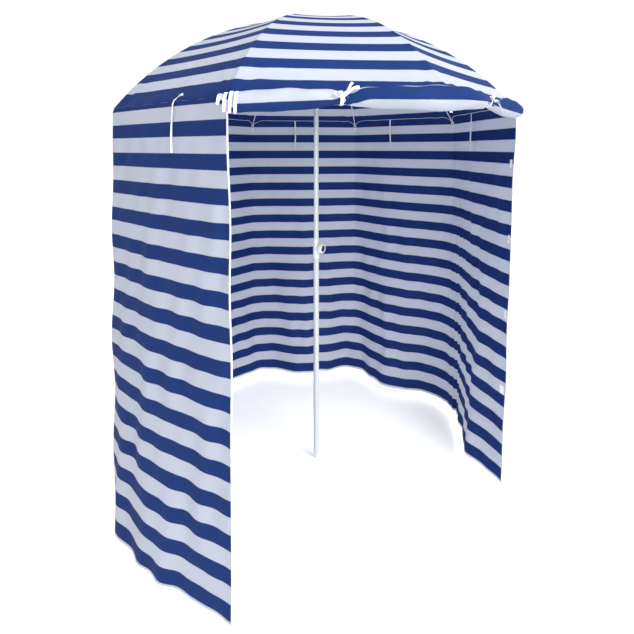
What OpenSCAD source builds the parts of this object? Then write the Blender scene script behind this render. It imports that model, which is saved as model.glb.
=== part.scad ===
// Octagonal beach umbrella with a hanging side wall, a rolled front flap and a telescopic pole.
// The origin is on the pole's axis at the lower end of the lower tube's round wall.
// +Z is up and the doorway faces -Y. Angles are counted from -Y towards +X.

/* [Canopy] */
// Distance from the pole's axis to each corner of the canopy
canopy_r = 860; // [820:5:900]
// Height of the dome's top above its corners
dome_rise = 434; // [420:2:450]
// Height of the canopy's corners above the lower tube's end
corner_z = 1555; // [1500:5:1600]
// Direction of rib 1, counted from the front towards the right
first_rib = -17; // [-22:1:0]
// Thickness of the cloth solids
cloth_t = 1; // [0.8:0.1:2]

/* [Side wall] */
// Height of the hem above the lower tube's end
hem_z = 22; // [10:1:60]
// First walled panel; the panels before it form the doorway
first_wall_panel = 3; // [3:1:3]
// Number of walled panels
wall_panels = 6; // [6:1:6]
// Radius of the rolled front flap
roll_r = 33; // [28:1:34]
// Length of a hanging tie tape
tie_len = 185; // [150:5:200]

/* [Pole] */
// Outer radius of the lower tube
lower_r = 12.5; // [12.5:0.5:14]
// Outer radius of the upper tube
upper_r = 11; // [10:0.5:11]
// Wall thickness of both tubes
tube_t = 1; // [0.8:0.1:1]
// Length of the lower tube
lower_len = 938; // [900:2:950]
// Height of the upper tube's lower end
upper_z = 590; // [500:10:620]
// Height of the clamp knob's axis
knob_z = 946; // [946:1:946]
// Direction of the clamp knob, counted from the front towards the right
knob_angle = 58; // [0:1:90]
// Length of the pointed foot
spike_len = 30; // [25:1:60]

/* [Ribs and stretchers] */
// Radius of a rib rod
rib_r = 2.5; // [2:0.1:2.5]
// Distance of a rib's centre line below the canopy's seam
rib_drop = 8; // [8:0.5:10]
// Distance of a rib's hinge from the pole's axis
crown_r = 24; // [24:0.5:26]
// Distance of the stretcher clip along the rib, measured from the pole's axis
clip_r = 410; // [400:5:420]
// Distance of a stretcher's outer pivot below the rib's centre line
clip_drop = 11; // [11:0.5:12]
// Pivot to pivot length of a stretcher
stretcher_len = 430; // [420:5:440]
// Distance of a stretcher's inner pivot from the pole's axis
runner_r = 26; // [26:0.5:27]

/* [Hidden] */
$fn = 64;
sides = 8;
half = 180 / sides;

// The dome's seam is one arc in each rib's plane, and the ribs follow it below the cloth.
dome_rho = (canopy_r * canopy_r + dome_rise * dome_rise) / (2 * dome_rise);
dome_z = corner_z + dome_rise - dome_rho;
apex_z = corner_z + dome_rise;
tip_phi = acos(canopy_r / dome_rho);
rib_rho = dome_rho - rib_drop;

// Crown hinge, rib tip, clip pivot and runner pivot, as [distance from the axis, height]
crown_z = dome_z + sqrt(rib_rho * rib_rho - crown_r * crown_r);
tip = [rib_rho * cos(tip_phi), dome_z + rib_rho * sin(tip_phi)];
clip_phi = acos(clip_r / rib_rho);
clip_rho = rib_rho - clip_drop;
clip = [clip_rho * cos(clip_phi), dome_z + clip_rho * sin(clip_phi)];
clip_out = clip[0] - runner_r;
runner_z = clip[1] - sqrt(stretcher_len * stretcher_len - clip_out * clip_out);
stretcher_tilt = 180 - atan2(clip[1] - runner_z, clip_out);

// Shared clearances: a running fit, and a gap between parts that never touch
fit = 0.05;
gap = 0.4;

// Flattened ends of ribs and stretchers, and the wire they hang on
blade_t = 3;
blade_h = 6.4;
eye_r = 4.2;
wire_r = 0.9;
wire_hole_r = 1.3;
rib_blade_len = 14;
stretcher_blade_len = 26;
slot_w = 4.2;

// Rivets and forks
rivet_r = 1.5;
ear_t = 1.5;
ear_y = blade_t / 2 + gap;
sleeve_r = 4.2;

// Crown and runner
hub_r = 29;
hub_up = 5;
hub_down = 8;
boss_r = 16;
boss_len = 24;
stud_r = 5;
flange_r = 31;
flange_half = 6;
runner_up = 14;
runner_down = 42;
button_z = runner_z - 26;
button_r = 4;

// Collar and knob
collar_low = 898;
seat_r = lower_r - 0.3;
collar_high = 988;
collar_r_low = 15.5;
collar_r_high = 13.4;
collar_boss_r = 9;
collar_boss_end = 16;
screw_r = 3;
knob_r = 23;
knob_back = 16.6;
knob_front = 38;
recess_r = 15;
recess_depth = 15;

// Wall, roll and trim places, as distances of a panel from the pole's axis
wall_in = (canopy_r + 12) * cos(half);
roll_z = 1548;
// Each run of the rolled flap: panel, distance out, radius less roll_r, where it starts and ends along the
// rim, and where its tie is
roll_runs = [[1, 840, 0, -352, 352, -12], [2, 828, -1, -352, 232, -90]];
tie_w = 10;
tie_shift = 60;
tie_in = 768;
tie_out = wall_in + 6;
patch_h = 34;
patch_w = 18;
patch_pitch = 314;
patch_low = 402;

ribs = [1 : sides];

// Direction of rib k, and of the middle of panel k, which lies between ribs k and k + 1
function rib_angle(k) = first_rib + 2 * half * (k - 1);
function panel_angle(k) = rib_angle(k) + half;

// Puts children in a vertical plane: +X points outwards and +Y along the rim.
module facing(angle) {
  rotate([0, 0, angle - 90]) children();
}

// Puts children on the rib's arc: +X points along the arc's radius.
module on_arc(phi) {
  translate([0, 0, dome_z]) rotate([0, -phi, 0]) children();
}

// A round rod that follows the rib's arc from one angle to another.
module arc_rod(r, from, to, bore = 0) {
  translate([0, 0, dome_z]) rotate([90, 0, 0]) rotate([0, 0, from])
    rotate_extrude(angle = to - from, $fn = 360)
      translate([rib_rho, 0]) difference() {
        circle(r, $fn = 32);
        if (bore > 0) circle(bore, $fn = 32);
      }
}

// A flat plate in the XZ plane, centred on y.
module plate(t, y = 0) {
  translate([0, y, 0]) rotate([90, 0, 0]) linear_extrude(t, center = true) children();
}

// A pin along Y through a point of the XZ plane.
module cross_pin(at, r, len) {
  translate([at[0], 0, at[1]]) rotate([90, 0, 0]) cylinder(r = r, h = len, center = true);
}

// A tube standing on z.
module tube(r_out, r_in, z, h) {
  translate([0, 0, z]) difference() {
    cylinder(r = r_out, h = h);
    translate([0, 0, -1]) cylinder(r = r_in, h = h + 2);
  }
}

// ---- pole ----

module ground_spike() {
  plug_r = lower_r - tube_t - fit;
  color("whitesmoke") rotate_extrude()
    polygon([[0, -spike_len], [1.5, -spike_len + 1], [lower_r, 0], [plug_r, 0], [plug_r, 25], [0, 25]]);
}

// The end inside the collar is turned down a little, so the collar sits on a shoulder.
module lower_pole() {
  color("white") {
    difference() {
      union() {
        cylinder(r = lower_r, h = collar_low);
        cylinder(r = seat_r, h = lower_len);
      }
      translate([0, 0, -1]) cylinder(r = lower_r - tube_t, h = lower_len + 2);
    }
  }
}

module clamp_collar() {
  color("white") difference() {
    union() {
      rotate_extrude() polygon([[0, collar_low], [collar_r_low, collar_low],
        [collar_r_low, collar_low + 6], [collar_r_high, collar_high - 4],
        [collar_r_high - 1, collar_high], [0, collar_high]]);
      facing(knob_angle) translate([0, 0, knob_z]) rotate([0, 90, 0])
        cylinder(r = collar_boss_r, h = collar_boss_end);
    }
    translate([0, 0, collar_low - 1]) cylinder(r = upper_r + fit, h = 100);
    translate([0, 0, collar_low - 1]) cylinder(r = seat_r + fit, h = lower_len - collar_low + 1.2);
    facing(knob_angle) translate([0, 0, knob_z]) rotate([0, 90, 0])
      cylinder(r = screw_r + fit, h = 40);
  }
}

// The knob's parts are turned about X, their screw axis.
module on_screw() {
  facing(knob_angle) translate([0, 0, knob_z]) rotate([0, 90, 0]) children();
}

module clamp_knob() {
  color("white") on_screw() rotate_extrude() polygon([
    [screw_r + fit, knob_back + 1], [10, knob_back + 1], [12, knob_back + 3], [knob_r - 3, knob_back + 3],
    [knob_r, knob_back + 6], [knob_r, knob_front - 3], [knob_r - 3, knob_front],
    [recess_r + 1, knob_front], [recess_r, knob_front - 1], [recess_r, knob_front - recess_depth],
    [screw_r + fit, knob_front - recess_depth]]);
}

module knob_cap() {
  color("midnightblue") on_screw() translate([0, 0, knob_front - recess_depth + 0.1])
    cylinder(r = recess_r - 0.2, h = 3);
}

module clamp_screw() {
  color("silver") on_screw() translate([0, 0, upper_r + 0.3])
    cylinder(r = screw_r, h = knob_front - recess_depth - upper_r - 0.4);
}

module upper_pole() {
  color("white") tube(upper_r, upper_r - tube_t, upper_z, crown_z - 3.5 - upper_z);
}

module pole_bush() {
  color("gainsboro") rotate_extrude() polygon([
    [0, upper_z - 12], [lower_r - tube_t - 0.06, upper_z - 12], [lower_r - tube_t - 0.06, upper_z - 0.1],
    [upper_r - tube_t - fit, upper_z - 0.1], [upper_r - tube_t - fit, upper_z + 20], [0, upper_z + 20]]);
}

// ---- crown and runner ----

module rib_slots(from, bottom, height) {
  for (k = ribs) facing(rib_angle(k))
    translate([from, -slot_w / 2, bottom]) cube([20, slot_w, height]);
}

module crown() {
  color("white") difference() {
    union() {
      translate([0, 0, crown_z - hub_down]) cylinder(r = hub_r, h = hub_down + hub_up);
      translate([0, 0, crown_z - hub_down - boss_len]) cylinder(r = boss_r, h = boss_len + 1);
      translate([0, 0, crown_z]) cylinder(r = stud_r, h = apex_z + 9 - crown_z);
    }
    translate([0, 0, crown_z - hub_down - boss_len - 1])
      cylinder(r = upper_r + fit, h = boss_len + hub_down + 1 - 3);
    rib_slots(18.5, crown_z - hub_down - 1, hub_down + hub_up + 2);
    translate([0, 0, crown_z]) rotate_extrude() translate([crown_r, 0]) circle(wire_r + 0.2, $fn = 24);
  }
}

module crown_wire() {
  color("silver") translate([0, 0, crown_z]) rotate_extrude()
    translate([crown_r, 0]) circle(wire_r, $fn = 24);
}

module top_cap() {
  base = apex_z + 0.6;
  color("white") difference() {
    rotate_extrude() polygon(concat(
      [[0, base], [26, base], [26, base + 3]],
      [for (a = [10 : 10 : 80]) [24 * cos(a), base + 3 + 15 * sin(a)]],
      [[0, base + 18]]));
    translate([0, 0, base - 1]) cylinder(r = stud_r + fit, h = 11);
  }
}

module runner() {
  color("white") difference() {
    union() {
      translate([0, 0, runner_z - runner_down]) cylinder(r = boss_r, h = runner_down + runner_up);
      translate([0, 0, runner_z - flange_half]) cylinder(r = flange_r, h = 2 * flange_half);
      translate([0, 0, runner_z - runner_down]) cylinder(r = boss_r + 3, h = 4);
      facing(0) translate([0, 0, button_z]) rotate([0, 90, 0]) cylinder(r = 9, h = 22);
    }
    translate([0, 0, runner_z - runner_down - 1])
      cylinder(r = upper_r + 0.35, h = runner_down + runner_up + 2);
    rib_slots(20.5, runner_z - flange_half - 1, 2 * flange_half + 2);
    facing(0) translate([0, 0, button_z]) rotate([0, 90, 0]) {
      cylinder(r = button_r + gap, h = 30);
      cylinder(r = button_r + 2, h = 18);
    }
  }
}

module runner_button() {
  color("gainsboro") facing(0) translate([0, 0, button_z]) rotate([0, 90, 0]) {
    translate([0, 0, 14.5]) cylinder(r = button_r + 1.5, h = 3);
    translate([0, 0, 15]) cylinder(r = button_r, h = 11);
  }
}

// ---- ribs and stretchers ----

module rib(k) {
  blade_phi = acos((crown_r + rib_blade_len) / rib_rho);
  color("white") facing(rib_angle(k)) difference() {
    union() {
      arc_rod(rib_r, tip_phi + 0.12, blade_phi);
      plate(blade_t) {
        translate([crown_r, crown_z]) circle(eye_r);
        translate([crown_r, crown_z - blade_h / 2]) square([rib_blade_len + 4, blade_h]);
      }
    }
    cross_pin([crown_r, crown_z], wire_hole_r, 10);
  }
}

module rib_clip(k) {
  half_sleeve = 0.38;
  color("white") facing(rib_angle(k)) {
    arc_rod(sleeve_r, clip_phi - half_sleeve, clip_phi + half_sleeve, rib_r + fit);
    on_arc(clip_phi) plate(blade_t) {
      translate([clip_rho, 0]) circle(eye_r);
      translate([clip_rho, -eye_r]) square([clip_drop - rib_r - 0.6, 2 * eye_r]);
    }
    cross_pin(clip, rivet_r, 9.6);
    for (side = [-1, 1]) translate([0, side * 4.3, 0]) cross_pin(clip, 2.6, 1);
  }
}

module rib_tip(k) {
  color("white") facing(rib_angle(k)) {
    difference() {
      union() {
        arc_rod(sleeve_r, tip_phi, tip_phi + 0.95);
        translate([tip[0], 0, tip[1]]) sphere(5.5);
      }
      arc_rod(rib_r + fit, tip_phi + 0.1, tip_phi + 2);
    }
    for (side = [-1, 1]) translate([0, side * 6.6, 0]) cross_pin(tip, rivet_r, 4.4);
  }
}

module stretcher(k) {
  rod_end = stretcher_len - stretcher_blade_len;
  color("white") facing(rib_angle(k))
    translate([clip[0], 0, clip[1]]) rotate([0, stretcher_tilt, 0]) difference() {
      union() {
        for (side = [-1, 1]) plate(ear_t, side * (ear_y + ear_t / 2)) {
          circle(eye_r);
          translate([0, -blade_h / 2]) square([18, blade_h]);
        }
        translate([11, -ear_y - ear_t, -blade_h / 2]) cube([9, 2 * (ear_y + ear_t), blade_h]);
        translate([16, 0, 0]) rotate([0, 90, 0]) cylinder(r = rib_r, h = rod_end - 16);
        plate(blade_t) {
          translate([stretcher_len, 0]) circle(eye_r);
          translate([rod_end - 4, -blade_h / 2]) square([stretcher_blade_len + 4, blade_h]);
        }
      }
      rotate([90, 0, 0]) cylinder(r = rivet_r + fit, h = 20, center = true);
      translate([stretcher_len, 0, 0]) rotate([90, 0, 0]) cylinder(r = wire_hole_r, h = 20, center = true);
    }
}

// The loop that hangs from a rib's tip and carries the wall's corner.
module wall_loop(k) {
  ear_in = 5.9;
  color("white") facing(rib_angle(k)) difference() {
    union() {
      for (side = [-1, 1]) plate(ear_t, side * (ear_in + ear_t / 2)) {
        translate(tip) circle(4);
        translate([tip[0] - 4, tip[1] - 15]) square([8, 15]);
      }
      translate([tip[0] - 4, -ear_in - ear_t, tip[1] - 16]) cube([8, 2 * (ear_in + ear_t), 3]);
      translate([tip[0] + 1, -6, tip[1] - 36]) cube([1.5, 12, 21]);
    }
    cross_pin(tip, rivet_r + fit, 20);
  }
}

// ---- cloth ----

// One gore of the dome: a curved sheet that bends only across the rim's direction.
module gore(k) {
  steps = 14;
  phis = [for (i = [0 : steps]) tip_phi + (90 - tip_phi) * i / steps];
  function seam(phi, rho) = [rho * cos(phi) * cos(half), dome_z + rho * sin(phi)];
  facing(panel_angle(k)) intersection() {
    plate(2 * canopy_r) polygon(concat(
      [for (p = phis) seam(p, dome_rho)],
      [for (i = [steps : -1 : 0]) seam(phis[i], dome_rho - cloth_t)]));
    translate([1, 0, 0]) linear_extrude(3000)
      polygon([[8, 8 * tan(half)], [canopy_r, canopy_r * tan(half)],
        [canopy_r, -canopy_r * tan(half)], [8, -8 * tan(half)]]);
  }
}

module canopy() {
  color("royalblue") for (k = ribs) gore(k);
}

module side_wall() {
  width = 2 * wall_in * tan(half) - 0.4;
  color("lightsteelblue") for (i = [0 : wall_panels - 1])
    facing(panel_angle(first_wall_panel + i))
      translate([wall_in, -width / 2, hem_z]) cube([cloth_t, width, corner_z - hem_z]);
}

// The flap of panels 1 and 2, rolled up and tied along the rim.
module front_roll() {
  wedge = 1200;
  color("royalblue") for (run = roll_runs) facing(panel_angle(run[0])) intersection() {
    translate([run[1], run[3], roll_z]) rotate([-90, 0, 0])
      cylinder(r = roll_r + run[2], h = run[4] - run[3]);
    linear_extrude(3000) polygon(run[0] == 1
      ? [[0, 0], [wedge, wedge * tan(half)], [wedge, -wedge], [0, -wedge]]
      : [[0, 0], [0, wedge], [wedge, wedge], [wedge, -wedge * tan(half)]]);
  }
}

module roll_ties() {
  color("white") for (run = roll_runs) facing(panel_angle(run[0]))
    translate([run[1], run[5], roll_z]) rotate([90, 0, 0]) difference() {
      cylinder(r = roll_r + run[2] + 1.5, h = tie_w, center = true);
      cylinder(r = roll_r + run[2] + 0.3, h = tie_w + 2, center = true);
    }
}

module wall_ties() {
  color("white") for (i = [0 : wall_panels - 1]) facing(panel_angle(first_wall_panel + i)) {
    translate([tie_in, tie_shift - tie_w / 2, corner_z + 20 - tie_len]) cube([1, tie_w, tie_len]);
    translate([tie_out, tie_shift - tie_w / 2, corner_z + 20 - tie_len]) cube([1, tie_w, tie_len - 25]);
  }
}

// Hook and loop patches inside the wall's two free edges.
module edge_patches() {
  reach = wall_in * tan(half);
  color("white") for (edge = [[first_wall_panel, -1], [first_wall_panel + wall_panels - 1, 1]])
    facing(panel_angle(edge[0])) for (i = [0 : 3])
      translate([wall_in - 1.8, edge[1] * (reach - 16) - patch_w / 2, patch_low + i * patch_pitch - patch_h / 2])
        cube([1.6, patch_w, patch_h]);
}

ground_spike();
lower_pole();
clamp_collar();
clamp_knob();
knob_cap();
clamp_screw();
upper_pole();
pole_bush();
crown();
crown_wire();
top_cap();
runner();
runner_button();
canopy();
side_wall();
front_roll();
roll_ties();
wall_ties();
edge_patches();
for (k = ribs) {
  rib(k);
  rib_clip(k);
  rib_tip(k);
  stretcher(k);
  wall_loop(k);
}
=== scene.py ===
"""Looks of the beach umbrella: cloth, tapes, trim, materials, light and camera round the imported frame."""
import math

import bpy
import numpy as np
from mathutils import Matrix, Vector


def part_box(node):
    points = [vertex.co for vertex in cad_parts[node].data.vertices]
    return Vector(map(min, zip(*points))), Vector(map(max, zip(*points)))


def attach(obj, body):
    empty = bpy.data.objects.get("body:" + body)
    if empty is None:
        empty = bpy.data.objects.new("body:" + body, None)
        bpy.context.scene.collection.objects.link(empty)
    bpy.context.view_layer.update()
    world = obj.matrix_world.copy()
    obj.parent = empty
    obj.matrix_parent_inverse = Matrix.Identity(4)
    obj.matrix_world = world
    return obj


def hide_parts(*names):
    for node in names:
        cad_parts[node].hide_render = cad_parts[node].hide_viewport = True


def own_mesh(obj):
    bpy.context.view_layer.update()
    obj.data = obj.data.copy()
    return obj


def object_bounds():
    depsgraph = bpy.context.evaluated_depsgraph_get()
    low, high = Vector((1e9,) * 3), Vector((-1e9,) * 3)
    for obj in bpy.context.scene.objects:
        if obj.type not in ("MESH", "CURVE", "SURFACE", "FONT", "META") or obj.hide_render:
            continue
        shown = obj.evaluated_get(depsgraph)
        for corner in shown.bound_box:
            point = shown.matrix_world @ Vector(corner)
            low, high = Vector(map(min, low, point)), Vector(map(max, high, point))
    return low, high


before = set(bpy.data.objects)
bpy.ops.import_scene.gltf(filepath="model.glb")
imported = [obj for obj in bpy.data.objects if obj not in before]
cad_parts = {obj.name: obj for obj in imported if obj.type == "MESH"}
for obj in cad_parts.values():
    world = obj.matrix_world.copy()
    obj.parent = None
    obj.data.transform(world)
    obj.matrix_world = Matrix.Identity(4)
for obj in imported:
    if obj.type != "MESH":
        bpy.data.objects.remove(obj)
CAD_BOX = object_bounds()

# ---------------------------------------------------------------- sizes, in metres and degrees

SIDES = 8
STEP = 360 / SIDES
HALF = math.radians(STEP / 2)
CANOPY_R = 0.860
RIM_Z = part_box("side_wall")[1][2]
HEM_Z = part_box("side_wall")[0][2]
APEX_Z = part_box("canopy")[1][2]
RISE = APEX_Z - RIM_Z
DOME_RHO = (CANOPY_R**2 + RISE**2) / (2 * RISE)
DOME_Z = APEX_Z - DOME_RHO
RIM_PHI = math.acos(CANOPY_R / DOME_RHO)
FIRST_RIB = -17.0
FIRST_WALL = 3
WALL_PANELS = 6
WALL_LIP = 0.006
WALL_TOP_Z = RIM_Z + WALL_LIP
WALL_H = WALL_TOP_Z - HEM_Z
PANEL_W = 2 * CANOPY_R * math.sin(HALF)

# One blue stripe and one white, then the part-width blue edge of the wall and of the canopy.
PERIOD = 0.1008
WALL_BAND = 0.011
CANOPY_BAND = 0.072
CLOTH_T = 0.0007
BINDING_W = 0.0048

UP = Vector((0, 0, 1))


def rib_angle(k):
    """Rib k's direction in degrees, as outward takes it."""
    return FIRST_RIB + STEP * (k - 1)


def panel_angle(k):
    """Direction of the middle of panel k, between rib k and the next."""
    return rib_angle(k) + STEP / 2


def outward(angle):
    """Unit vector away from the pole; the angle counts from -Y towards +X."""
    a = math.radians(angle)
    return Vector((math.sin(a), -math.cos(a), 0))


def along(angle):
    """Unit vector along the rim, anticlockwise from above."""
    a = math.radians(angle)
    return Vector((math.cos(a), math.sin(a), 0))


# ---------------------------------------------------------------- camera

EYE_BACK = 2.45 * CANOPY_R
EYE_Z = 1.409
LENS = 25.78
SHIFT_Y = -0.2666
SHIFT_X = 0.0012


def make_camera():
    """A level camera at head height, with the frame shifted down."""
    data = bpy.data.cameras.new("camera")
    data.lens = LENS
    data.sensor_width = 36
    data.shift_x = SHIFT_X
    data.shift_y = SHIFT_Y
    data.clip_start = 0.05
    camera = bpy.data.objects.new("camera", data)
    camera.location = (0, -EYE_BACK, EYE_Z)
    camera.rotation_euler = (math.radians(90), 0, 0)
    bpy.context.collection.objects.link(camera)
    bpy.context.scene.camera = camera


make_camera()

# ---------------------------------------------------------------- materials


class Nodes:
    """A short way to build one material's node tree."""

    def __init__(self, name):
        self.material = bpy.data.materials.new(name)
        self.material.use_nodes = True
        self.tree = self.material.node_tree
        self.shader = self.tree.nodes["Principled BSDF"]

    def add(self, kind, **values):
        node = self.tree.nodes.new(kind)
        for key, value in values.items():
            if hasattr(node, key) and key not in node.inputs:
                setattr(node, key, value)
            else:
                node.inputs[key].default_value = value
        return node

    def link(self, a, b):
        self.tree.links.new(a, b)

    def math(self, operation, a, b=None, c=None):
        node = self.tree.nodes.new("ShaderNodeMath")
        node.operation = operation
        for socket, value in zip(node.inputs, (a, b, c)):
            if value is None:
                continue
            if isinstance(value, (int, float)):
                socket.default_value = value
            else:
                self.link(value, socket)
        return node.outputs[0]

    def mix(self, factor, a, b):
        node = self.tree.nodes.new("ShaderNodeMix")
        node.data_type = "RGBA"
        for socket, value in ((node.inputs[0], factor), (node.inputs[6], a), (node.inputs[7], b)):
            if isinstance(value, (int, float)):
                socket.default_value = value
            elif isinstance(value, tuple):
                socket.default_value = (*value, 1)
            else:
                self.link(value, socket)
        return node.outputs[2]

    def noise(self, where, scale, detail=3.0, roughness=0.5):
        node = self.add("ShaderNodeTexNoise", Scale=scale, Detail=detail, Roughness=roughness)
        self.link(where, node.inputs["Vector"])
        return node.outputs["Fac"]

    def bump(self, height, strength, distance, below=None):
        node = self.add("ShaderNodeBump", Strength=strength, Distance=distance)
        self.link(height, node.inputs["Height"])
        if below is not None:
            self.link(below, node.inputs["Normal"])
        return node.outputs["Normal"]


BLUE = (0.006, 0.043, 0.235)
BLUE_DEEP = (0.003, 0.031, 0.180)
WHITE = (0.57, 0.61, 0.69)
WHITE_WARM = (0.66, 0.69, 0.755)
TAPE_WHITE = (0.76, 0.775, 0.80)


def striped_cloth(name, see_through=0.50):
    """Woven polyester with printed stripes. UV is the cloth's own width and length in metres."""
    n = Nodes(name)
    place = n.add("ShaderNodeTexCoord")
    split = n.add("ShaderNodeSeparateXYZ")
    n.link(place.outputs["UV"], split.inputs[0])
    across, down = split.outputs[0], split.outputs[1]
    # printed edge wanders by a fraction of a millimetre
    wander = n.math("MULTIPLY", n.math("SUBTRACT", n.noise(place.outputs["UV"], 60, 2), 0.5), 0.0012)
    phase = n.math("FRACT", n.math("DIVIDE", n.math("ADD", down, wander), PERIOD))
    # half of each period is blue, with edges a 60th of the period wide
    rise = n.math("MULTIPLY", n.math("SUBTRACT", phase, 0.5), 60)
    fall = n.math("MULTIPLY", n.math("SUBTRACT", 1, phase), 60)
    blue = n.math("MULTIPLY", n.math("MINIMUM", n.math("MAXIMUM", rise, 0), 1), n.math("MINIMUM", fall, 1))
    # dye and dust vary slowly over the cloth
    tone = n.noise(place.outputs["Object"], 5, 4, 0.6)
    blue_colour = n.mix(tone, BLUE_DEEP, BLUE)
    white_colour = n.mix(tone, WHITE, WHITE_WARM)
    colour = n.mix(blue, white_colour, blue_colour)
    # the weave: warp and weft ribs, and slubs along the threads
    warp = n.math("SINE", n.math("MULTIPLY", across, 2 * math.pi / 0.0011))
    weft = n.math("SINE", n.math("MULTIPLY", down, 2 * math.pi / 0.0011))
    weave = n.math("MULTIPLY", warp, weft)
    slub_place = n.add("ShaderNodeMapping")
    slub_place.inputs["Scale"].default_value = (30, 700, 1)
    n.link(place.outputs["UV"], slub_place.inputs["Vector"])
    slub = n.noise(slub_place.outputs[0], 1.0, 2)
    colour = n.mix(n.math("MULTIPLY", slub, 0.10), colour, (0.25, 0.30, 0.42))
    n.link(colour, n.shader.inputs["Base Color"])
    crease_place = n.add("ShaderNodeMapping")
    crease_place.inputs["Scale"].default_value = (1, 1, 0.45)
    n.link(place.outputs["Object"], crease_place.inputs["Vector"])
    creases = n.noise(crease_place.outputs[0], 11, 4, 0.55)
    normal = n.bump(creases, 0.45, 0.012)
    normal = n.bump(slub, 0.12, 0.0006, normal)
    normal = n.bump(weave, 0.10, 0.0003, normal)
    n.link(normal, n.shader.inputs["Normal"])
    rough = n.math("ADD", n.math("MULTIPLY", slub, 0.14), 0.55)
    n.link(rough, n.shader.inputs["Roughness"])
    n.shader.inputs["Sheen Weight"].default_value = 0.03
    n.shader.inputs["Sheen Roughness"].default_value = 0.4
    n.shader.inputs["Specular IOR Level"].default_value = 0.10
    glow = n.add("ShaderNodeBsdfTranslucent")
    n.link(colour, glow.inputs["Color"])
    n.link(normal, glow.inputs["Normal"])
    both = n.add("ShaderNodeMixShader")
    both.inputs[0].default_value = see_through
    out = n.tree.nodes["Material Output"]
    n.link(n.shader.outputs[0], both.inputs[1])
    n.link(glow.outputs[0], both.inputs[2])
    n.link(both.outputs[0], out.inputs["Surface"])
    return n.material


def woven_tape(name, colour=TAPE_WHITE, pitch=0.0012):
    """White cotton or polyester tape with a herringbone rib."""
    n = Nodes(name)
    place = n.add("ShaderNodeTexCoord")
    split = n.add("ShaderNodeSeparateXYZ")
    n.link(place.outputs["Object"], split.inputs[0])
    slant = n.math("ADD", n.math("ADD", split.outputs[0], split.outputs[1]), split.outputs[2])
    rib = n.math("SINE", n.math("MULTIPLY", slant, 2 * math.pi / pitch))
    soil = n.noise(place.outputs["Object"], 40, 4, 0.6)
    shade = tuple(c * 0.86 for c in colour)
    n.link(n.mix(soil, shade, colour), n.shader.inputs["Base Color"])
    normal = n.bump(soil, 0.2, 0.002)
    n.link(n.bump(rib, 0.25, 0.0004, normal), n.shader.inputs["Normal"])
    n.link(n.math("ADD", n.math("MULTIPLY", soil, 0.15), 0.7), n.shader.inputs["Roughness"])
    n.shader.inputs["Sheen Weight"].default_value = 0.2
    return n.material


def powder_coat(name, colour, rough=0.28, peel=0.15, worn=(0.55, 0.57, 0.6)):
    """Sprayed metal: orange peel, and a slightly duller coat in patches."""
    n = Nodes(name)
    place = n.add("ShaderNodeTexCoord")
    cloud = n.noise(place.outputs["Object"], 18, 4, 0.6)
    fine = n.noise(place.outputs["Object"], 900, 2)
    geometry = n.add("ShaderNodeNewGeometry")
    ridge = n.math("SUBTRACT", geometry.outputs["Pointiness"], 0.56)
    edge = n.math("MULTIPLY", n.math("MAXIMUM", ridge, 0), 4)
    shade = tuple(c * 0.93 for c in colour)
    base = n.mix(cloud, shade, colour)
    n.link(n.mix(n.math("MINIMUM", edge, 0.6), base, worn), n.shader.inputs["Base Color"])
    n.link(n.bump(fine, peel, 0.0003), n.shader.inputs["Normal"])
    n.link(n.math("ADD", n.math("MULTIPLY", cloud, 0.16), rough), n.shader.inputs["Roughness"])
    n.shader.inputs["Coat Weight"].default_value = 0.25
    n.shader.inputs["Coat Roughness"].default_value = 0.2
    return n.material


def moulded_plastic(name, colour, rough=0.38):
    """Moulded plastic with a fine texture and a little handling wear."""
    n = Nodes(name)
    place = n.add("ShaderNodeTexCoord")
    grain = n.noise(place.outputs["Object"], 1400, 3, 0.6)
    smear = n.noise(place.outputs["Object"], 30, 4, 0.65)
    shade = tuple(c * 0.9 for c in colour)
    n.link(n.mix(smear, shade, colour), n.shader.inputs["Base Color"])
    n.link(n.bump(grain, 0.18, 0.0003), n.shader.inputs["Normal"])
    n.link(n.math("ADD", n.math("MULTIPLY", smear, 0.2), rough), n.shader.inputs["Roughness"])
    return n.material


def bright_steel(name):
    """Drawn steel wire and screws, with fine marks along their length."""
    n = Nodes(name)
    place = n.add("ShaderNodeTexCoord")
    stretch = n.add("ShaderNodeMapping")
    stretch.inputs["Scale"].default_value = (1, 1, 12)
    n.link(place.outputs["Object"], stretch.inputs["Vector"])
    brush = n.noise(stretch.outputs[0], 300, 4)
    n.link(n.mix(brush, (0.48, 0.49, 0.51), (0.66, 0.67, 0.69)), n.shader.inputs["Base Color"])
    n.link(n.bump(brush, 0.1, 0.0002), n.shader.inputs["Normal"])
    n.link(n.math("ADD", n.math("MULTIPLY", brush, 0.2), 0.22), n.shader.inputs["Roughness"])
    n.shader.inputs["Metallic"].default_value = 1
    return n.material


CLOTH = striped_cloth("striped_polyester")
TAPE = woven_tape("white_tape")
PATCH = woven_tape("hook_and_loop", (0.86, 0.87, 0.9), 0.0022)
POLE = powder_coat("pole_paint", (0.44, 0.46, 0.50))
ROD = powder_coat("rib_paint", (0.78, 0.79, 0.82), 0.35)
WHITE_PLASTIC = moulded_plastic("white_plastic", (0.58, 0.60, 0.63))
GREY_PLASTIC = moulded_plastic("grey_plastic", (0.5, 0.52, 0.56))
NAVY_PLASTIC = moulded_plastic("navy_plastic", (0.02, 0.035, 0.09), 0.5)
STEEL = bright_steel("bright_steel")

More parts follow.
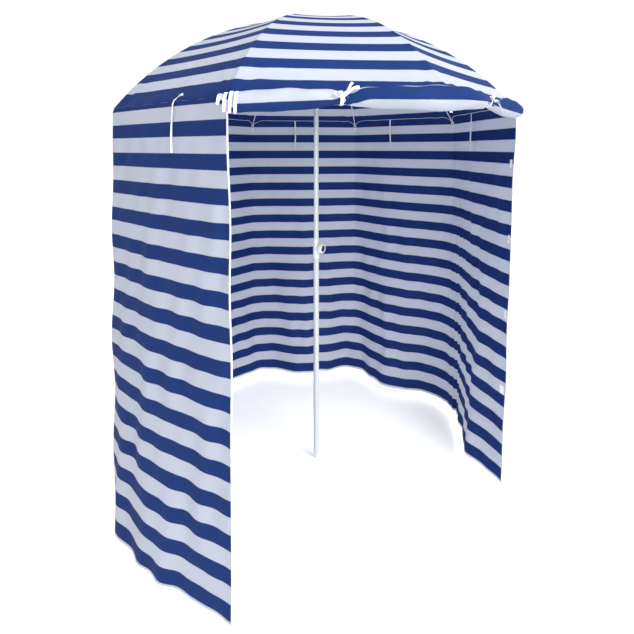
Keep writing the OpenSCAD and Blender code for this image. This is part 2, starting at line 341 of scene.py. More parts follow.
NODE_LOOKS = {
    "lower_pole": POLE, "upper_pole": POLE, "ground_spike": WHITE_PLASTIC, "clamp_collar": WHITE_PLASTIC,
    "clamp_knob": WHITE_PLASTIC, "knob_cap": NAVY_PLASTIC, "clamp_screw": STEEL, "pole_bush": WHITE_PLASTIC,
    "crown": WHITE_PLASTIC, "crown_wire": STEEL, "top_cap": WHITE_PLASTIC, "runner": WHITE_PLASTIC,
    "runner_button": GREY_PLASTIC,
}
for k in range(1, SIDES + 1):
    NODE_LOOKS[f"rib_{k}"] = ROD
    NODE_LOOKS[f"rib_clip_{k}"] = ROD
    NODE_LOOKS[f"stretcher_{k}"] = ROD
    NODE_LOOKS[f"rib_tip_{k}"] = WHITE_PLASTIC
    NODE_LOOKS[f"wall_loop_{k}"] = TAPE

for node_name, look in NODE_LOOKS.items():
    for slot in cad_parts[node_name].material_slots:
        slot.material = look

# ---------------------------------------------------------------- mesh helpers


def grid_mesh(name, points, uvs, material, thickness=CLOTH_T):
    """A sheet from a grid of points[i][j] and their cloth coordinates, given a thickness."""
    rows, cols = len(points), len(points[0])
    verts = [tuple(p) for row in points for p in row]
    faces = [(i * cols + j, i * cols + j + 1, (i + 1) * cols + j + 1, (i + 1) * cols + j)
             for i in range(rows - 1) for j in range(cols - 1)]
    mesh = bpy.data.meshes.new(name)
    mesh.from_pydata(verts, [], faces)
    layer = mesh.uv_layers.new(name="cloth")
    flat = [uv for row in uvs for uv in row]
    for loop in mesh.loops:
        layer.data[loop.index].uv = flat[loop.vertex_index]
    mesh.polygons.foreach_set("use_smooth", [True] * len(mesh.polygons))
    mesh.materials.append(material)
    obj = bpy.data.objects.new(name, mesh)
    bpy.context.collection.objects.link(obj)
    solid = obj.modifiers.new("cloth", "SOLIDIFY")
    solid.thickness = thickness
    solid.offset = 0
    apply_modifiers(obj)
    return obj


def apply_modifiers(obj):
    """Turns the modified shape into the object's own mesh and keeps its real corners sharp."""
    graph = bpy.context.evaluated_depsgraph_get()
    mesh = bpy.data.meshes.new_from_object(obj.evaluated_get(graph))
    obj.modifiers.clear()
    obj.data = mesh
    mesh.set_sharp_from_angle(angle=math.radians(60))


def ribbon(name, centre, width_dirs, width, material, thickness=0.0008):
    """A narrow tape along a list of points; width_dirs says which way it is wide."""
    points = []
    for i, (c, d) in enumerate(zip(centre, width_dirs)):
        run_dir = (centre[min(i + 1, len(centre) - 1)] - centre[max(i - 1, 0)]).normalized()
        d = (d - run_dir * d.dot(run_dir)).normalized()
        points.append([c - d * width / 2, c, c + d * width / 2])
    run = [0.0]
    for a, b in zip(centre, centre[1:]):
        run.append(run[-1] + (b - a).length)
    uvs = [[(-width / 2, r), (0, r), (width / 2, r)] for r in run]
    return grid_mesh(name, points, uvs, material, thickness)


def round_cord(name, centre, radius, material, sides=8):
    """A round tube along a list of points, closed at both ends."""
    verts, faces = [], []
    side = None
    for i, c in enumerate(centre):
        a = centre[max(i - 1, 0)]
        b = centre[min(i + 1, len(centre) - 1)]
        t = (b - a).normalized()
        if side is None:
            side = t.orthogonal().normalized()
        side = (side - t * side.dot(t)).normalized()
        up = t.cross(side)
        for s in range(sides):
            angle = 2 * math.pi * s / sides
            verts.append(tuple(c + (side * math.cos(angle) + up * math.sin(angle)) * radius))
    for i in range(len(centre) - 1):
        for s in range(sides):
            n = (s + 1) % sides
            faces.append((i * sides + s, i * sides + n, (i + 1) * sides + n, (i + 1) * sides + s))
    faces.append(tuple(range(sides))[::-1])
    faces.append(tuple((len(centre) - 1) * sides + s for s in range(sides)))
    mesh = bpy.data.meshes.new(name)
    mesh.from_pydata(verts, [], faces)
    mesh.polygons.foreach_set("use_smooth", [True] * len(mesh.polygons))
    mesh.materials.append(material)
    obj = bpy.data.objects.new(name, mesh)
    bpy.context.collection.objects.link(obj)
    return obj


def ease(x):
    """Smooth step from 0 to 1 as x goes from 0 to 1."""
    x = min(max(x, 0.0), 1.0)
    return x * x * (3 - 2 * x)


def fold_with(piece, body, axis, anchor):
    """Carries a soft piece on a body, with a mesh of its own; axis and anchor are not used."""
    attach(piece, body)
    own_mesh(piece)


# ---------------------------------------------------------------- canopy

GORE_ROWS = 46
GORE_COLS = 15
GORE_SAG = 0.006
SEAM_W = 0.005


def gore_profile():
    """Rows of the dome as (seam angle, distance of the cloth from the rim along the gore)."""
    phis = np.linspace(RIM_PHI, math.radians(89.0), GORE_ROWS)
    u = DOME_RHO * np.cos(phis) * math.cos(HALF)
    z = DOME_RHO * np.sin(phis)
    run = np.concatenate([[0], np.cumsum(np.hypot(np.diff(u), np.diff(z)))])
    return list(zip(phis, run))


GORE_ROWS_AT = gore_profile()
GORE_LENGTH = GORE_ROWS_AT[-1][1]


def band_v(run):
    """Cloth coordinate along the canopy: the rim band is one wide blue stripe."""
    if run >= CANOPY_BAND:
        return run - CANOPY_BAND
    return (run - CANOPY_BAND) / CANOPY_BAND * PERIOD * 0.49


def gore_point(k, side, share, phi, run):
    """A point of the gore beside rib k. side is +1 towards rib k + 1, share 0 at the rib, 1 mid gore."""
    middle = panel_angle(k) if side > 0 else panel_angle(k - 1)
    u = DOME_RHO * math.cos(phi) * math.cos(HALF)
    z = DOME_Z + DOME_RHO * math.sin(phi)
    reach = u * math.tan(HALF)
    w = -side * reach * (1 - share)
    lift = Vector((outward(middle) * math.cos(phi)) + Vector((0, 0, math.sin(phi)))).normalized()
    # the cloth is stretched hollow between ribs, most of it halfway down
    hollow = GORE_SAG * (1 - (1 - share) ** 2) * math.sin(math.pi * min(run / GORE_LENGTH, 1))
    # gathers spread from the rib's pocket at the corner
    from_rib = reach * share
    corner = math.hypot(from_rib, run)
    spread = math.atan2(run, from_rib + 1e-6)
    gather = 0.0035 * math.exp(-((corner - 0.07) / 0.06) ** 2) * math.sin(9 * spread + 1.3 * side)
    ripple = 0.0016 * math.exp(-run / 0.05) * math.sin(from_rib * 55 + k * 1.7) * ease(from_rib / 0.05)
    # the rim pulls up a little between the corners
    scallop = 0.002 * ease(share) * math.exp(-run / 0.035)
    point = outward(middle) * u + along(middle) * w + Vector((0, 0, z + scallop))
    seam = 0.0009 if from_rib < SEAM_W else 0.0
    return point + lift * (seam - hollow + (gather + ripple) * ease(from_rib / 0.015)), middle


def make_gore(k):
    """The cloth on both sides of rib k, out to the middles of its two gores."""
    shares = [0, 0.006, 0.012] + [0.012 + 0.988 * (i / GORE_COLS) for i in range(1, GORE_COLS + 1)]
    columns = [(-1, s) for s in reversed(shares[1:])] + [(1, s) for s in shares]
    points, uvs = [], []
    for phi, run in GORE_ROWS_AT:
        row, uv_row = [], []
        for side, share in columns:
            p, _ = gore_point(k, side, share, phi, run)
            row.append(p)
            reach = DOME_RHO * math.cos(phi) * math.cos(HALF) * math.tan(HALF)
            uv_row.append((side * reach * share, band_v(run)))
        points.append(row)
        uvs.append(uv_row)
    piece = grid_mesh(f"canopy_gore_{k}", points, uvs, CLOTH)
    fold_with(piece, f"rib_{k}", along(rib_angle(k)), outward(rib_angle(k)) * CANOPY_R)
    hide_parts("canopy")


for k in range(1, SIDES + 1):
    make_gore(k)

# ---------------------------------------------------------------- side wall

# Distance of the hem from the pole round the wall: (panels round from the right free edge, metres).
HEM_PLACES = [
    (0.0, 0.805), (0.12, 0.745), (0.25, 0.695), (0.35, 0.682), (0.5, 0.705), (0.85, 0.780), (1.0, 0.800),
    (1.12, 0.806), (1.25, 0.762), (1.4, 0.705), (1.6, 0.662), (1.75, 0.710), (1.9, 0.786), (2.08, 0.800),
    (2.24, 0.734), (2.5, 0.680), (2.65, 0.710), (2.92, 0.830), (3.2, 0.785), (3.5, 0.775), (4.0, 0.847),
    (4.25, 0.825), (4.5, 0.805), (5.0, 0.858), (5.14, 0.858), (5.25, 0.840), (5.4, 0.836), (5.6, 0.828),
    (5.86, 0.806), (6.0, 0.826),
]
# The wall is sewn just inside the rim and comes out past it in its first row.
WALL_TOP_R = CANOPY_R - 0.0035
WALL_SPREAD = 0.0065
HANG_POWER = 1.35
WALL_ROWS = 96
WALL_COLS = 34


def wall_corner_angle(q):
    """Direction of a place on the wall, q panels round from the right free edge."""
    return rib_angle(FIRST_WALL) + STEP * q


def hem_curve():
    """The hem's distance from the pole, smoothed along the wall."""
    q = np.linspace(-0.3, WALL_PANELS + 0.3, 1321)
    radius = np.interp(q, [p[0] for p in HEM_PLACES], [p[1] for p in HEM_PLACES])
    kernel = np.exp(-0.5 * (np.arange(-30, 31) * (q[1] - q[0]) / 0.045) ** 2)
    return q, np.convolve(np.pad(radius, 30, "edge"), kernel / kernel.sum(), "valid")


HEM_Q, HEM_R = hem_curve()


def hem_radius(q):
    return float(np.interp(q, HEM_Q, HEM_R))


def rim_point(q, radius=WALL_TOP_R):
    """A point on the octagon of that corner radius, q panels round from the right free edge."""
    i = min(int(q), WALL_PANELS - 1)
    a = outward(wall_corner_angle(i)) * radius
    b = outward(wall_corner_angle(i + 1)) * radius
    return a.lerp(b, q - i)


def wall_point(q, h):
    """A point of the wall, h from 0 at the rim to 1 at the hem."""
    top = rim_point(q, WALL_TOP_R + WALL_SPREAD * ease(h * WALL_ROWS))
    bottom = outward(wall_corner_angle(q)) * hem_radius(q)
    free = min(q, WALL_PANELS - q)
    hang = h ** (HANG_POWER - 0.65 * math.exp(-((free / 0.16) ** 2)))
    plan = top.lerp(bottom, hang)
    away = outward(wall_corner_angle(q))
    # long soft folds that grow downwards, and shallow creases across them
    fold = 0.004 * math.sin(7.1 * q + 1.5 * h + 0.6) + 0.004 * math.sin(16.3 * q - 2.2 * h + 2.1)
    fold += 0.0035 * math.sin(29.0 * q + 3.1 * h)
    crease = 0.0022 * math.sin(23 * h + 4 * q) * math.sin(5.3 * q + 0.4)
    crease += 0.0017 * math.sin(41 * q + 19 * h) + 0.0014 * math.sin(27 * h - 33 * q + 1)
    # narrow pleats where the right panel meets the back
    pleat = 0.0075 * math.sin(96 * q + 2 * h) * math.exp(-(((q - 0.84) / 0.085) ** 2))
    sway = ease(h / 0.18) * (0.35 + 0.65 * h)
    plan = plan + away * (fold * sway + crease * ease(h / 0.1) + pleat * ease(h / 0.4))
    # the top edge pulls up a little between the corners, as the rim does
    scallop = 0.002 * abs(math.sin(math.pi * q)) * math.exp(-h / 0.03)
    return Vector((plan.x, plan.y, WALL_TOP_Z - h * WALL_H + scallop))


def wall_v(run):
    """Cloth coordinate down the wall; the first blue edge is sewn in a little lower."""
    v = run - WALL_BAND
    return v - 0.005 * max(0.0, 1 - max(v, 0.0) / 0.06)


def wall_rib(panel, end):
    """The rib that a wall half hangs from."""
    return (panel + end - 1) % SIDES + 1


def wall_span(panel, end):
    """Where a wall half's corner and the panel's middle lie, in panels round from the right free edge."""
    return panel - FIRST_WALL + end, panel - FIRST_WALL + 0.5


def wall_fold(panel, end):
    """Body, axis and anchor of a wall half, and of what is sewn to it."""
    corner_q, middle_q = wall_span(panel, end)
    inward = wall_point(middle_q, 0.7) - wall_point(corner_q, 0.7)
    inward.z = 0
    return f"wall_loop_{wall_rib(panel, end)}", inward.normalized(), rim_point(corner_q)


def wall_half(panel, end):
    """Half of a wall panel: end 0 hangs from the panel's first rib, end 1 from its second."""
    lo, hi = sorted(wall_span(panel, end))
    points, uvs = [], []
    for i in range(WALL_ROWS + 1):
        h = i / WALL_ROWS
        row, uv_row = [], []
        for j in range(WALL_COLS + 1):
            q = lo + (hi - lo) * j / WALL_COLS
            row.append(wall_point(q, h))
            uv_row.append((q * PANEL_W, wall_v(h * WALL_H - WALL_LIP)))
        points.append(row)
        uvs.append(uv_row)
    piece = grid_mesh(f"wall_panel_{panel}_{'ab'[end]}", points, uvs, CLOTH)
    fold_with(piece, *wall_fold(panel, end))
    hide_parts("side_wall")


for panel in range(FIRST_WALL, FIRST_WALL + WALL_PANELS):
    for end in (0, 1):
        wall_half(panel, end)

# ---------------------------------------------------------------- rolled front flap

# The middle of the roll: panel, distance out, place along the rim, height and radius.
ROLL_KNOTS = [
    (1, 0.838, -0.352, 1.532, 0.0325), (1, 0.840, -0.200, 1.540, 0.0325), (1, 0.834, -0.070, 1.547, 0.0290),
    (1, 0.827, -0.012, 1.550, 0.0160), (1, 0.833, 0.050, 1.550, 0.0260), (1, 0.842, 0.180, 1.551, 0.0345),
    (1, 0.832, 0.338, 1.552, 0.0350), (2, 0.836, -0.250, 1.556, 0.0320), (2, 0.818, -0.140, 1.562, 0.0240),
    (2, 0.811, -0.090, 1.567, 0.0150), (2, 0.812, -0.040, 1.563, 0.0250), (2, 0.814, 0.080, 1.558, 0.0330),
    (2, 0.814, 0.228, 1.555, 0.0320),
]
# Distances along the roll from its left end: the panels' middles, and the corner between them.
ROLL_CORNER = 0.342
ROLL_PANEL_1 = -ROLL_KNOTS[0][2]
ROLL_PANEL_2 = ROLL_PANEL_1 + 2 * ROLL_CORNER
ROLL_BEND = ROLL_PANEL_1 + ROLL_CORNER
ROLL_END = ROLL_PANEL_2 + ROLL_KNOTS[-1][2]
TIE_PLACES = [0.340, ROLL_PANEL_2 - 0.090]
ROLL_SPLITS = [0.0, ROLL_PANEL_1, ROLL_BEND, ROLL_PANEL_2, ROLL_END]
ROLL_RIBS = (1, 2, 2, 3)
ROLL_PANELS = (1, 1, 2, 2)
ROLL_TURNS = 3.4
ROLL_PITCH = 0.095
ROLL_START = 128.0
ROLL_LEAD = 6
ROLL_STEPS = 150
ROLL_TELESCOPE = 0.054
ROLL_CIRCLE = 0.033


def roll_run(knot):
    """How far along the roll a knot lies, from its left end."""
    return knot[2] + (ROLL_PANEL_1 if knot[0] == 1 else ROLL_PANEL_2)


def roll_samples():
    """Place, height and radius of the roll's middle, close together and smoothed."""
    runs = np.array([roll_run(k) for k in ROLL_KNOTS])
    u = np.linspace(-0.1, ROLL_END + 0.1, 700)
    out, z, radius = (np.interp(u, runs, [k[i] for k in ROLL_KNOTS]) for i in (1, 3, 4))
    first = u < ROLL_BEND
    place = np.zeros((len(u), 2))
    for panel, chosen, start in ((1, first, ROLL_PANEL_1), (2, ~first, ROLL_PANEL_2)):
        away, side = outward(panel_angle(panel)), along(panel_angle(panel))
        for axis in (0, 1):
            place[chosen, axis] = away[axis] * out[chosen] + side[axis] * (u[chosen] - start)
    table = np.column_stack([place, z, radius])
    width = 0.014 / (u[1] - u[0])
    kernel = np.exp(-0.5 * (np.arange(-40, 41) / width) ** 2)
    kernel /= kernel.sum()
    for column in range(4):
        padded = np.concatenate([2 * table[0, column] - table[40:0:-1, column], table[:, column],
                                 2 * table[-1, column] - table[-2:-42:-1, column]])
        table[:, column] = np.convolve(padded, kernel, "valid")
    return u, table


ROLL_U, ROLL_TABLE = roll_samples()


def roll_at(u):
    """Middle, outward direction and radius of the roll at distance u from its left end."""
    x, y, z, radius = (np.interp(u, ROLL_U, ROLL_TABLE[:, c]) for c in range(4))
    ahead = [np.interp(u + 0.004, ROLL_U, ROLL_TABLE[:, c]) for c in (0, 1)]
    run = Vector((ahead[0] - x, ahead[1] - y, 0)).normalized()
    return Vector((x, y, z)), Vector((run.y, -run.x, 0)), float(radius)


def rim_edge(u):
    """The canopy's rim beside the roll, which the flap hangs from."""
    panel, middle = (1, ROLL_PANEL_1) if u < ROLL_BEND else (2, ROLL_PANEL_2)
    angle = panel_angle(panel)
    reach = PANEL_W / 2
    t = min(max(u - middle, -reach), reach)
    rise = 0.002 * ease(1 - abs(t) / reach)
    return outward(angle) * (CANOPY_R * math.cos(HALF) + 0.002) + along(angle) * t + UP * (RIM_Z + rise)


def white_from(u):
    """The angle below which the roll's outer turn shows white; it slips round at the first tie."""
    return 77 + 87 * ease((u - 0.31) / 0.12) - 16 * ease((u - 0.90) / 0.08)


def roll_point(u, share):
    """A point of the flap's spiral section; share runs from the rim to the innermost turn."""
    centre, away, radius = roll_at(u)
    turn = share * ROLL_TURNS
    angle = math.radians(ROLL_START) - 2 * math.pi * turn
    tie = min(abs(u - t) for t in TIE_PLACES)
    outer = 1 - ease(turn / 1.3)
    size = radius * (1 - ROLL_PITCH * turn)
    size += outer * 0.0021 * math.sin(27 * u + 2.2 * angle) * ease(tie / 0.05)
    size += outer * 0.0014 * math.sin(61 * u - 3.1 * angle)
    size += outer * 0.0030 * math.exp(-(((tie - 0.028) / 0.026) ** 2)) * math.sin(8 * angle + 30 * u)
    size += outer * 0.0060 * math.exp(-(((u - 0.615) / 0.045) ** 2)) * max(-math.sin(angle), 0) ** 2
    flat = 1 - 0.05 * outer * math.sin(9 * u + 0.5)
    return centre + away * size * math.cos(angle) + Vector((0, 0, size * flat * math.sin(angle)))


def roll_start(share):
    """The flap's left edge slopes, so the inner turns reach further out than the outer ones."""
    return ROLL_TELESCOPE * (1 - share) ** 0.9


def flap_point(u, j):
    """Row j of the flap at one place along the roll: ROLL_LEAD rows from the rim, then the turns."""
    if j >= ROLL_LEAD:
        return roll_point(u, (j - ROLL_LEAD) / ROLL_STEPS)
    arch = UP * (0.006 * math.sin(math.pi * j / ROLL_LEAD))
    return rim_edge(u).lerp(roll_point(u, 0), j / ROLL_LEAD) + arch


def flap_run(j, u):
    """Cloth coordinate of a row of the flap, set so that white begins where white_from says."""
    share = max(j - ROLL_LEAD, 0) / ROLL_STEPS
    angle = ROLL_START - 360 * ROLL_TURNS * share
    lead = min(j - ROLL_LEAD, 0) * 0.006
    size = ROLL_CIRCLE * (1 - ROLL_PITCH * ROLL_TURNS * share / 2)
    return math.radians(white_from(u) - angle) * size + lead


# the turns' length, and the lead from the rim
ROLL_CLOTH_LEN = 2 * math.pi * ROLL_TURNS * ROLL_CIRCLE * (1 - ROLL_PITCH * ROLL_TURNS / 2) + 0.03


def roll_fold(index):
    """Body, axis and anchor for a quarter of the roll; index counts from the left."""
    rib, panel = ROLL_RIBS[index], ROLL_PANELS[index]
    anchor = outward(rib_angle(rib)) * (CANOPY_R + 0.04)
    if index == 3:
        # the last quarter stops short of its rib, so its anchor lies beside the rib's cap
        anchor = anchor + along(panel_angle(panel)) * 0.034
    return f"wall_loop_{rib}", along(panel_angle(panel)), anchor


def roll_quarter(index, cols):
    """Half a panel's length of the rolled flap."""
    lo, hi = ROLL_SPLITS[index], ROLL_SPLITS[index + 1]
    columns, uvs = [], []
    for i in range(cols + 1):
        rows, uv_rows = [], []
        for j in range(ROLL_LEAD + ROLL_STEPS + 1):
            share = max(j - ROLL_LEAD, 0) / ROLL_STEPS
            start = roll_start(share) if index == 0 else lo
            end = hi - 0.012 * (1 - share) if index == 3 else hi
            u = start + (end - start) * i / cols
            rows.append(flap_point(u, j))
            uv_rows.append((u, flap_run(j, u)))
        columns.append(rows)
        uvs.append(uv_rows)
    piece = grid_mesh(f"front_roll_{index + 1}", columns, uvs, CLOTH, 0.0011)
    fold_with(piece, *roll_fold(index))
    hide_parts("front_roll")


for index, cols in enumerate((30, 34, 30, 26)):
    roll_quarter(index, cols)


def roll_binding():
    """White tape folded over the flap's left edge, which shows as rings at the roll's end."""
    width = 0.0070
    rows, uvs = [], []
    for j in range(ROLL_STEPS + 1):
        share = j / ROLL_STEPS
        u = roll_start(share)
        middle = roll_at(u)[0]
        row = []
        for offset in (-0.0015, width * 0.5, width):
            p = roll_point(u + offset, share)
            row.append(p + (p - middle).normalized() * 0.0005)
        rows.append(row)
        run = j / ROLL_STEPS * ROLL_CLOTH_LEN
        uvs.append([(0, run), (width * 0.5, run), (width, run)])
    piece = grid_mesh("front_roll_binding", rows, uvs, TAPE, 0.0026)
    fold_with(piece, *roll_fold(0))


roll_binding()

# ---------------------------------------------------------------- tapes

TIE_W = 0.010
TIE_T = 0.0009


def declare_tape(part):
    """Reads a tape's cloth coordinates, and does nothing more with them."""
    data = part.data.uv_layers["cloth"].data
    values = np.empty(len(data) * 2)
    data.foreach_get("uv", values)


# Bow of each tie: where the knot sits round the roll, and its loops and tails as
# (along the roll, upwards, length, outward lift, droop).
BOWS = [
    (8, [(-0.9, 0.35, 0.022, 0.3, 0.0), (0.3, -0.95, 0.020, 0.35, 0.0)],
     [(0.72, 0.80, 0.052, 0.18, 0.004), (0.95, 0.50, 0.058, 0.12, 0.003)]),
    (20, [(-0.75, -0.55, 0.026, 0.3, 0.002), (0.55, 0.65, 0.018, 0.4, 0.0)],
     [(0.50, -0.70, 0.058, 0.15, 0.006), (0.80, -0.35, 0.050, 0.15, 0.006)]),
]


def tie_on_roll(index):
    """A tape round the roll, knotted in a bow at the front."""
    u = TIE_PLACES[index]
    knot_angle, loops, tails = BOWS[index]
    centre, away, radius = roll_at(u)
    side = Vector((-away.y, away.x, 0))
    knot_at = math.radians(knot_angle)
    normal = away * math.cos(knot_at) + UP * math.sin(knot_at)
    rise = UP * math.cos(knot_at) - away * math.sin(knot_at)
    parts = []
    ring = []
    for t in np.linspace(knot_at, knot_at + 2 * math.pi, 49):
        spoke = away * math.cos(t) + UP * math.sin(t)
        ring.append(centre + spoke * (radius + 0.0024) + side * 0.0006 * (t - knot_at))
    parts.append(ribbon(f"roll_tie_{index + 1}_ring", ring, [side] * len(ring), TIE_W, TAPE, TIE_T))
    knot = centre + normal * (radius + 0.0050)
    for n, (run, lift, size, off, droop) in enumerate(loops):
        lead = (side * run + rise * lift).normalized()
        swing = lead.cross(normal).normalized()
        loop, wide = [], []
        for t in np.linspace(0, 2 * math.pi, 25):
            reach = size * (1 - math.cos(t)) / 2
            loop.append(knot + lead * reach + swing * 0.0055 * math.sin(t) + normal * (0.002 + off * reach)
                        - UP * droop * (reach / size) ** 2)
            wide.append(normal + lead * 0.2)
        parts.append(ribbon(f"roll_tie_{index + 1}_loop_{n + 1}", loop, wide, TIE_W * 0.55, TAPE, TIE_T))
    for n, (run, lift, size, off, droop) in enumerate(tails):
        lead = (side * run + rise * lift).normalized()
        swing = lead.cross(normal).normalized()
        tail, wide = [], []
        for t in np.linspace(0, 1, 15):
            tail.append(knot + lead * size * t + normal * (0.002 + off * size * math.sin(math.pi * t * 0.8))
                        + swing * 0.004 * math.sin(5 * t + n) - UP * droop * t * t)
            wide.append(swing + normal * 0.5 * math.sin(2.5 * t + n))
        parts.append(ribbon(f"roll_tie_{index + 1}_tail_{n + 1}", tail, wide, TIE_W * 0.75, TAPE, TIE_T))
    wrap = [knot + (rise * math.cos(t) + normal * math.sin(t)) * 0.0048
            for t in np.linspace(0, 2 * math.pi, 17)]
    parts.append(ribbon(f"roll_tie_{index + 1}_knot", wrap, [side] * len(wrap), TIE_W * 0.8, TAPE, TIE_T))
    for part in parts:
        fold_with(part, *roll_fold((0, 2)[index]))
        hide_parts("roll_ties")
        declare_tape(part)


for index in (0, 1):
    tie_on_roll(index)

TIE_TOP = RIM_Z + 0.024
TIE_LEN = 0.185
TIE_SHIFT = 0.060


def hanging_tie(panel, outside):
    """A tape that hangs free on a walled panel, sewn on above the rim, past the panel's middle."""
    angle = panel_angle(panel)
    away, side = outward(angle), along(angle)
    rim = CANOPY_R * math.cos(HALF)
    points, wide = [], []
    for t in np.linspace(0, 1, 31):
        sway = 0.006 * math.sin(math.pi * t * 1.1 + 2 * panel) * t
        if outside:
            # it starts on the canopy's band, loops up a little and falls over the rim
            lean = 0.030 * (1 - ease(t / 0.16)) + 0.012 * (1 - t) + sway
            drop = TIE_LEN * t - 0.010 * math.sin(math.pi * min(t / 0.16, 1))
            out = rim + 0.008 - 0.70 * max(TIE_TOP - drop - RIM_Z, 0)
        else:
            out = rim - 0.020 - 0.004 * ease(t)
            lean = sway
            drop = TIE_LEN * t
        points.append(away * out + side * (TIE_SHIFT + lean) + UP * (TIE_TOP - drop))
        twist = math.radians(24) * math.sin(3.1 * t + panel) * ease(t * 2)
        hook = UP * (1 - ease(t / 0.16)) if outside else Vector()
        wide.append(side * math.cos(twist) + away * math.sin(twist) + hook)
    name = f"wall_tie_{panel}_{'outside' if outside else 'inside'}"
    piece = ribbon(name, points, wide, TIE_W * 0.75, TAPE, TIE_T)
    fold_with(piece, *wall_fold(panel, 1))
    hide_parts("wall_ties")


for panel in range(FIRST_WALL, FIRST_WALL + WALL_PANELS):
    hanging_tie(panel, False)
    hanging_tie(panel, True)

# ---------------------------------------------------------------- seams, bindings and patches


def rim_seam(k, side):
    """The pale stitched seam inside the canopy's band, pulled down at the rib's pocket."""
    runs = [r for _, r in GORE_ROWS_AT]
    phis = [p for p, _ in GORE_ROWS_AT]
    points = []
    for i in range(33):
        share = (i / 32) ** 1.6
        run = 0.004 + 0.030 * ease(share / 0.16) ** 0.6
        phi = float(np.interp(run, runs, phis))
        p, middle = gore_point(k, side, max(share, 0.004), phi, run)
        inward = Vector(outward(middle) * math.cos(phi)) + UP * math.sin(phi)
        points.append(p - inward.normalized() * 0.0050)
    piece = round_cord(f"rim_seam_{k}_{'ab'[side > 0]}", points, 0.0012, TAPE)
    fold_with(piece, f"rib_{k}", along(rib_angle(k)), outward(rib_angle(k)) * CANOPY_R)


for panel in range(FIRST_WALL, FIRST_WALL + WALL_PANELS):
    rim_seam(panel, 1)
    rim_seam(panel % SIDES + 1, -1)


def folded_tape(name, line, panel, end):
    """White tape folded over an edge of the wall; line gives (edge, inside the edge, outward) along it."""
    points, uvs = [], []
    run = 0.0
    last = None
    for edge, inside, away in line:
        way = (inside - edge).normalized()
        if last is not None:
            run += (edge - last).length
        last = edge
        points.append([
            edge + way * BINDING_W - away * 0.0011,
            edge - away * 0.0013 - way * 0.0004,
            edge + away * 0.0013 - way * 0.0004,
            edge + way * BINDING_W + away * 0.0011,
        ])
        uvs.append([(-BINDING_W, run), (-0.001, run), (0.001, run), (BINDING_W, run)])
    piece = grid_mesh(name, points, uvs, TAPE, 0.0006)
    fold_with(piece, *wall_fold(panel, end))


def edge_binding(q_edge, panel, end):
    """The tape down one free edge of the wall."""
    inner = 1 if q_edge == 0 else -1
    away = outward(wall_corner_angle(q_edge))
    line = []
    for i in range(WALL_ROWS + 1):
        h = i / WALL_ROWS
        line.append((wall_point(q_edge, h), wall_point(q_edge + inner * BINDING_W / PANEL_W, h), away))
    folded_tape(f"edge_binding_{'right' if q_edge == 0 else 'left'}", line, panel, end)


edge_binding(0, FIRST_WALL, 0)
edge_binding(WALL_PANELS, FIRST_WALL + WALL_PANELS - 1, 1)


def hem_binding(panel, end):
    """The tape along the bottom of half a wall panel."""
    corner_q, middle_q = wall_span(panel, end)
    line = []
    for i in range(WALL_COLS * 2 + 1):
        q = corner_q + (middle_q - corner_q) * i / (WALL_COLS * 2)
        above = wall_point(q, 1.0 - BINDING_W / WALL_H)
        line.append((wall_point(q, 1.0), above, outward(wall_corner_angle(q))))
    folded_tape(f"hem_binding_{panel}_{'ab'[end]}", line, panel, end)


for panel in range(FIRST_WALL, FIRST_WALL + WALL_PANELS):
    for end in (0, 1):
        hem_binding(panel, end)

PATCH_W, PATCH_H = 0.018, 0.034
PATCH_LOW = 0.402
PATCH_PITCH = 0.314
PATCHES = 4


def edge_patch(q_edge, panel, end, index, z):
    """A hook-and-loop patch sewn inside a free edge, with a stitched border."""
    inner = 1 if q_edge == 0 else -1
    points, uvs = [], []
    rows, cols = 10, 8
    for i in range(rows + 1):
        row, uv_row = [], []
        for j in range(cols + 1):
            h = (WALL_TOP_Z - z - PATCH_H / 2 + PATCH_H * i / rows) / WALL_H
            q = q_edge + inner * (0.014 + PATCH_W * j / cols) / PANEL_W
            p = wall_point(q, h)
            border = min(i, rows - i, j, cols - j)
            lift = 0.0012 if border == 0 else (0.0018 if border == 1 else 0.0026)
            row.append(p - outward(wall_corner_angle(q)) * lift)
            uv_row.append((PATCH_W * j / cols, PATCH_H * i / rows))
        points.append(row)
        uvs.append(uv_row)
    name = f"edge_patch_{'right' if q_edge == 0 else 'left'}_{index + 1}"
    piece = grid_mesh(name, points, uvs, PATCH, 0.0012)
    fold_with(piece, *wall_fold(panel, end))
    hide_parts("edge_patches")


for index in range(PATCHES):
    z = PATCH_LOW + PATCH_PITCH * index
    edge_patch(0, FIRST_WALL, 0, index, z)
    edge_patch(WALL_PANELS, FIRST_WALL + WALL_PANELS - 1, 1, index, z)

# ---------------------------------------------------------------- painted shade in the knob's recess

KNOB_ANGLE = 58.0
KNOB_Z = 0.946
# the painted shade's radius, and where it starts and ends along the knob's axis
RECESS_SHADE_R = 0.0144
RECESS_SHADE_FROM, RECESS_SHADE_TO = 0.0285, 0.0374


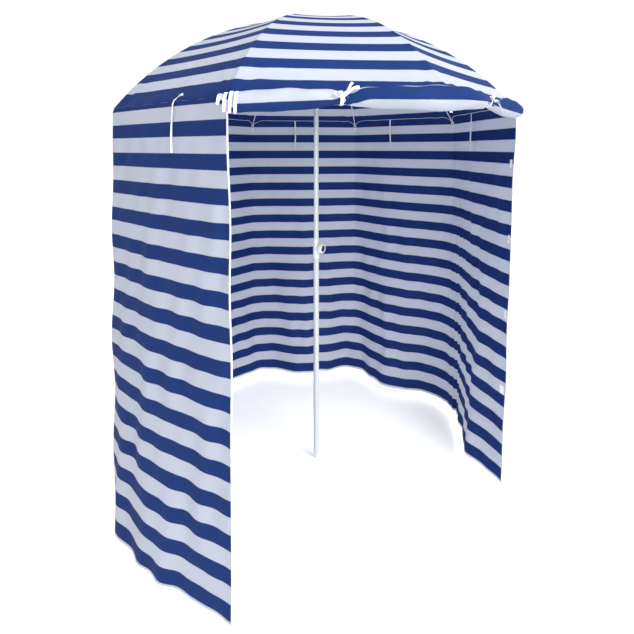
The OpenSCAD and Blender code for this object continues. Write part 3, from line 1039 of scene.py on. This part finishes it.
def knob_recess_shade():
    """A dark navy sleeve round the inside of the knob's recess: painted shade on the recess walls."""
    away, side = outward(KNOB_ANGLE), along(KNOB_ANGLE)
    angles = np.linspace(0, 2 * math.pi, 49)
    points, uvs = [], []
    for out in np.linspace(RECESS_SHADE_FROM, RECESS_SHADE_TO, 4):
        centre = away * out + UP * KNOB_Z
        points.append([centre + (side * math.cos(a) + UP * math.sin(a)) * RECESS_SHADE_R for a in angles])
        uvs.append([(a * RECESS_SHADE_R, out) for a in angles])
    piece = grid_mesh("knob_recess_shade", points, uvs, NAVY_PLASTIC, 0.0004)
    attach(piece, "clamp_knob")


knob_recess_shade()

# ---------------------------------------------------------------- light, floor

# name, place, size, power and what it points at
LIGHTS = [
    ("key", (3.2, -3.6, 5.6), 3.0, 400, (0, 0, 1.0)),
    ("inside", (0.0, -0.3, 1.0), 1.0, 2.0, (0.8, 0.5, 0.85)),
    ("front", (1.8, -3.8, 1.5), 2.4, 70, (0.1, 0, 1.1)),
]
FLOOR_REACH = 30.0
FLOOR_GLOW = 0.32
WORLD_STRENGTH = 1.02


def area_light(name, where, size, power, target):
    """A square lamp that the camera doesn't see."""
    data = bpy.data.lights.new(name, "AREA")
    data.size = size
    data.energy = power
    lamp = bpy.data.objects.new(name, data)
    lamp.location = where
    lamp.rotation_euler = (Vector(target) - Vector(where)).to_track_quat("-Z", "Y").to_euler()
    lamp.visible_camera = False
    bpy.context.collection.objects.link(lamp)


def make_floor():
    """A white floor with a little glow of its own, so that it stays as bright as the studio."""
    low = CAD_BOX[0][2]
    corners = [(x * FLOOR_REACH, y * FLOOR_REACH, low) for x, y in ((-1, -1), (1, -1), (1, 1), (-1, 1))]
    mesh = bpy.data.meshes.new("floor")
    mesh.from_pydata(corners, [], [(0, 1, 2, 3)])
    floor = bpy.data.objects.new("floor", mesh)
    bpy.context.collection.objects.link(floor)
    look = Nodes("floor_paint")
    look.shader.inputs["Base Color"].default_value = (0.88, 0.88, 0.885, 1)
    look.shader.inputs["Roughness"].default_value = 0.9
    look.shader.inputs["Emission Color"].default_value = (1, 1, 1, 1)
    look.shader.inputs["Emission Strength"].default_value = FLOOR_GLOW
    mesh.materials.append(look.material)


def make_world():
    """Even white light from all round."""
    world = bpy.data.worlds.new("studio")
    world.use_nodes = True
    world.node_tree.nodes["Background"].inputs["Color"].default_value = (1, 1, 1, 1)
    world.node_tree.nodes["Background"].inputs["Strength"].default_value = WORLD_STRENGTH
    bpy.context.scene.world = world


make_floor()
make_world()
for light in LIGHTS:
    area_light(*light)
bpy.context.scene.view_settings.view_transform = "Standard"
